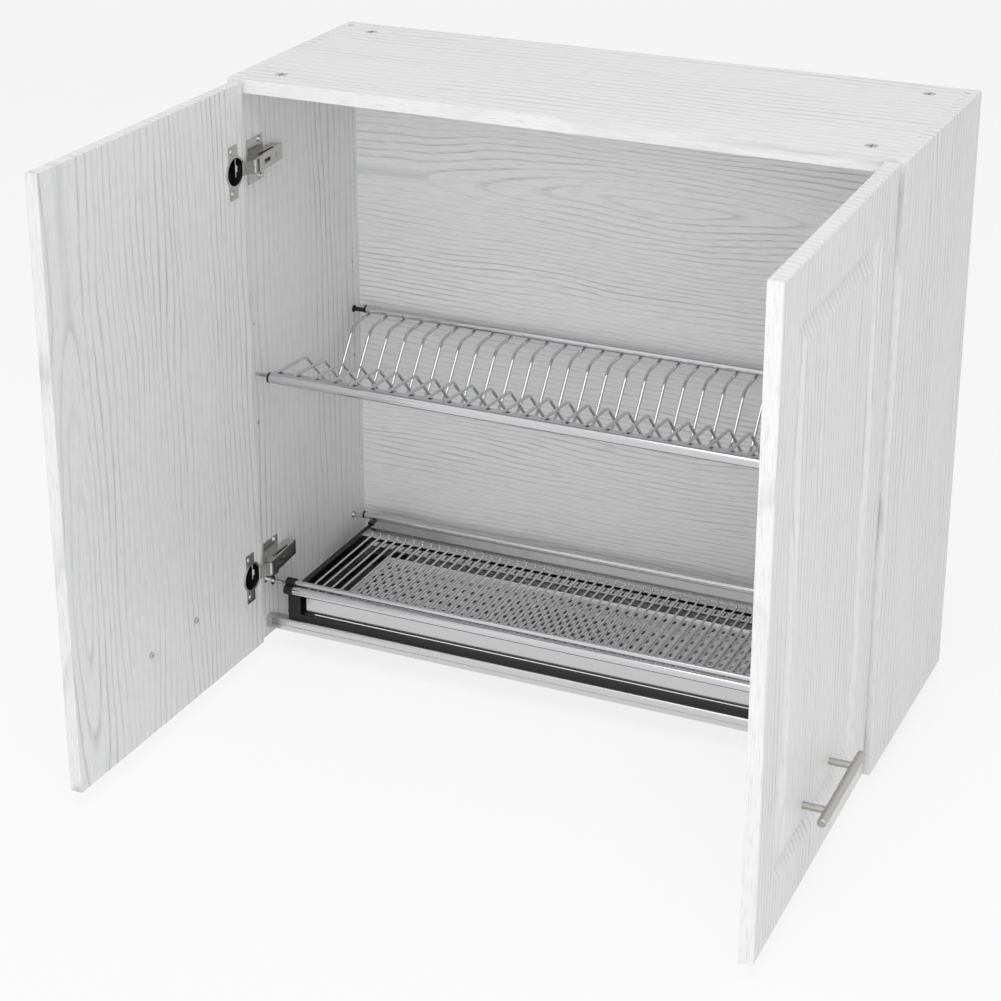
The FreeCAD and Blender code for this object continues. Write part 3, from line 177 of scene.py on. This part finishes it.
def metal(name, colour, roughness, scratch_along=None, scratch=0.06, bump=0.02):
    # A metal skin. scratch_along is the axis its rolling or brushing marks run on.
    mat = new_finish(name)
    place = add(mat, "ShaderNodeTexCoord")
    fine = [1 / (0.35 * MM)] * 3
    if scratch_along is not None:
        fine[scratch_along] = 1 / (40 * MM)
    marks = add(mat, "ShaderNodeMapping", {"Vector": place.outputs["Object"]}, {"Scale": fine})
    grit = add(mat, "ShaderNodeTexNoise", {"Vector": marks.outputs[0]}, {"Scale": 1.0, "Detail": 2.0})
    rough = add(mat, "ShaderNodeMapRange", {"Value": grit.outputs["Fac"]},
                {"From Min": 0.3, "From Max": 0.7,
                 "To Min": roughness - scratch / 2, "To Max": roughness + scratch / 2})
    lines = add(mat, "ShaderNodeBump", {"Height": grit.outputs["Fac"]}, {"Strength": bump, "Distance": 0.05 * MM})
    skin = add(mat, "ShaderNodeBsdfPrincipled",
               {"Roughness": rough.outputs[0], "Normal": lines.outputs[0]},
               {"Base Color": linear(colour), "Metallic": 1.0})
    return finish_with(mat, skin)


# Mirror-bright wires and tubes.
CHROME = metal("chromed_wire", "#cdcdcf", 0.12)
# The tray's soft mirror, rolled lengthways.
STAINLESS = metal("bright_stainless_sheet", "#c8c8c8", 0.16, scratch_along=X)
# The plate under the wires, duller so that its holes read dark.
DRAIN_STEEL = metal("punched_stainless_plate", "#dcdcdc", 0.26, scratch_along=X, scratch=0.1)
# The smooth light band of the front bar.
ALUMINIUM = metal("bright_anodised_aluminium", "#cdcdce", 0.2, scratch_along=X)
# The slightly warm shine of hinges and screws.
NICKEL = metal("nickel_plated_steel", "#c4c3c0", 0.22)
# The brushed, blurred handles.
SATIN = metal("satin_nickel", "#b4b2ae", 0.34, scratch_along=Y, scratch=0.12, bump=0.08)
# Dull grey castings.
ZINC = metal("die_cast_zinc", "#bdbdba", 0.4)


def fine_grained(name, colour, roughness, sparkle):
    # A dull solid with a fine texture, drawn at 0.6 mm: a moulding's spark-eroded tool, or cut wood.
    mat = new_finish(name)
    place = add(mat, "ShaderNodeTexCoord")
    grit = add(mat, "ShaderNodeTexNoise", {"Vector": place.outputs["Object"]},
               {"Scale": 1 / (0.6 * MM), "Detail": 2.0})
    tool = add(mat, "ShaderNodeBump", {"Height": grit.outputs["Fac"]}, {"Strength": sparkle, "Distance": 0.04 * MM})
    skin = add(mat, "ShaderNodeBsdfPrincipled", {"Normal": tool.outputs[0]},
               {"Base Color": linear(colour), "Roughness": roughness, "IOR": 1.49})
    return finish_with(mat, skin)


# The end pieces and caps are black plastic. The black strip on top of the front bar is painted shade: a black sheet
# that stands in for the dark shadow gap under the tray.
BLACK_ABS_AND_GAP_SHADE = fine_grained("black_abs_and_painted_gap_shade", "#080808", 0.45, sparkle=0.15)
# The dowels, hidden in the joints.
BEECH = fine_grained("turned_beech", "#c8a678", 0.6, sparkle=0.4)

FINISHES = {
    "side_left": SIDE_FOIL,
    "side_right": SIDE_FOIL,
    "bottom_rear_rail": TOP_FOIL,
    "top_panel": TOP_FOIL,
    "back_panel": BACK_FOIL,
    "door_left": LEFT_DOOR_FOIL,
    "door_right": RIGHT_DOOR_FOIL,
    "drain_plate": DRAIN_STEEL,
}
SLOT_FINISHES = {
    "zinc": ZINC,
    "beech": BEECH,
    "galvanised_steel": ZINC,
    "chromed_steel": CHROME,
    "stainless_steel": STAINLESS,
    "anodised_aluminium": ALUMINIUM,
    "satin_nickel": SATIN,
    "nickel_plated_steel": NICKEL,
    "black_plastic": BLACK_ABS_AND_GAP_SHADE,
}
for part in frame["record"]["subparts"]:
    finish = FINISHES.get(part["node"]) or SLOT_FINISHES[part["material_slot"]]
    mesh = frame["nodes"][part["node"]].data
    mesh.materials.clear()
    mesh.materials.append(finish)


# Floor, light and camera

floor_mesh = bpy.data.meshes.new("studio_floor")
floor_z = cad_box[0][2] - FLOOR_DROP
corners = [(x * FLOOR_REACH, y * FLOOR_REACH, floor_z) for x, y in ((-1, -1), (1, -1), (1, 1), (-1, 1))]
floor_mesh.from_pydata(corners, [], [(0, 1, 2, 3)])
floor = bpy.data.objects.new("studio_floor", floor_mesh)
bpy.context.collection.objects.link(floor)

# Plain white paper: a part of its own shading stays in view, so that the cabinet's shadow falls on it.
studio_paper = new_finish("white_studio_paper")
seen = maths(studio_paper, "MULTIPLY", seen_by_eye(studio_paper), FLOOR_WHITENESS)
matt = add(studio_paper, "ShaderNodeBsdfDiffuse", values={"Color": linear(FLOOR_COLOUR)})
white = add(studio_paper, "ShaderNodeEmission", values={"Color": linear("#ffffff"), "Strength": 1.0})
both = add(studio_paper, "ShaderNodeMixShader", {0: seen.outputs[0], 1: matt.outputs[0], 2: white.outputs[0]})
floor_mesh.materials.append(finish_with(studio_paper, both))

world = bpy.data.worlds.new("studio")
world.use_nodes = True
world.node_tree.nodes.clear()
bpy.context.scene.world = world
seen = seen_by_eye(world)
room = add(world, "ShaderNodeBackground", values={"Color": linear("#ffffff"), "Strength": ROOM_LIGHT})
white = add(world, "ShaderNodeBackground", values={"Color": linear("#ffffff"), "Strength": 1.0})
both = add(world, "ShaderNodeMixShader", {0: seen.outputs[0], 1: room.outputs[0], 2: white.outputs[0]})
add(world, "ShaderNodeOutputWorld", {"Surface": both.outputs[0]})


def softbox(name, place, aim, size, watts):
    light = bpy.data.lights.new(name, "AREA")
    light.shape = "RECTANGLE"
    light.size, light.size_y = size
    light.energy = watts
    lamp = bpy.data.objects.new(name, light)
    lamp.location = place
    lamp.rotation_euler = (Vector(aim) - Vector(place)).to_track_quat("-Z", "Y").to_euler()
    bpy.context.collection.objects.link(lamp)


softbox("softbox_above", (0.3, -1.5, 2.6), (0, -0.2, -0.3), (2.4, 2.4), 34)
softbox("softbox_front", (1.0, -3.3, 0.5), (0, -0.1, -0.35), (2.6, 1.8), 31)
softbox("softbox_left", (-2.6, -1.6, 0.6), (0, -0.2, -0.3), (1.6, 2.0), 8)
softbox("softbox_right", (2.8, -1.2, 0.8), (0.2, -0.2, -0.3), (1.6, 2.0), 7)

scene = bpy.context.scene
scene.view_settings.view_transform = "Standard"

lens = bpy.data.cameras.new("camera")
lens.sensor_width = SENSOR
lens.lens = FOCAL_PIXELS / PHOTO_SIDE * SENSOR
# a small part of the photo's own shift, so that the other views stay framed
lens.shift_y = -0.12
lens.clip_end = 100
camera = bpy.data.objects.new("camera", lens)
azimuth, elevation = math.radians(24.47), math.radians(21.77)
camera.location = Vector((1011.7, -2647.2, 753.7)) * MM
camera.rotation_euler = Euler((math.pi / 2 - elevation, 0, azimuth), "XYZ")
bpy.context.collection.objects.link(camera)
scene.camera = camera
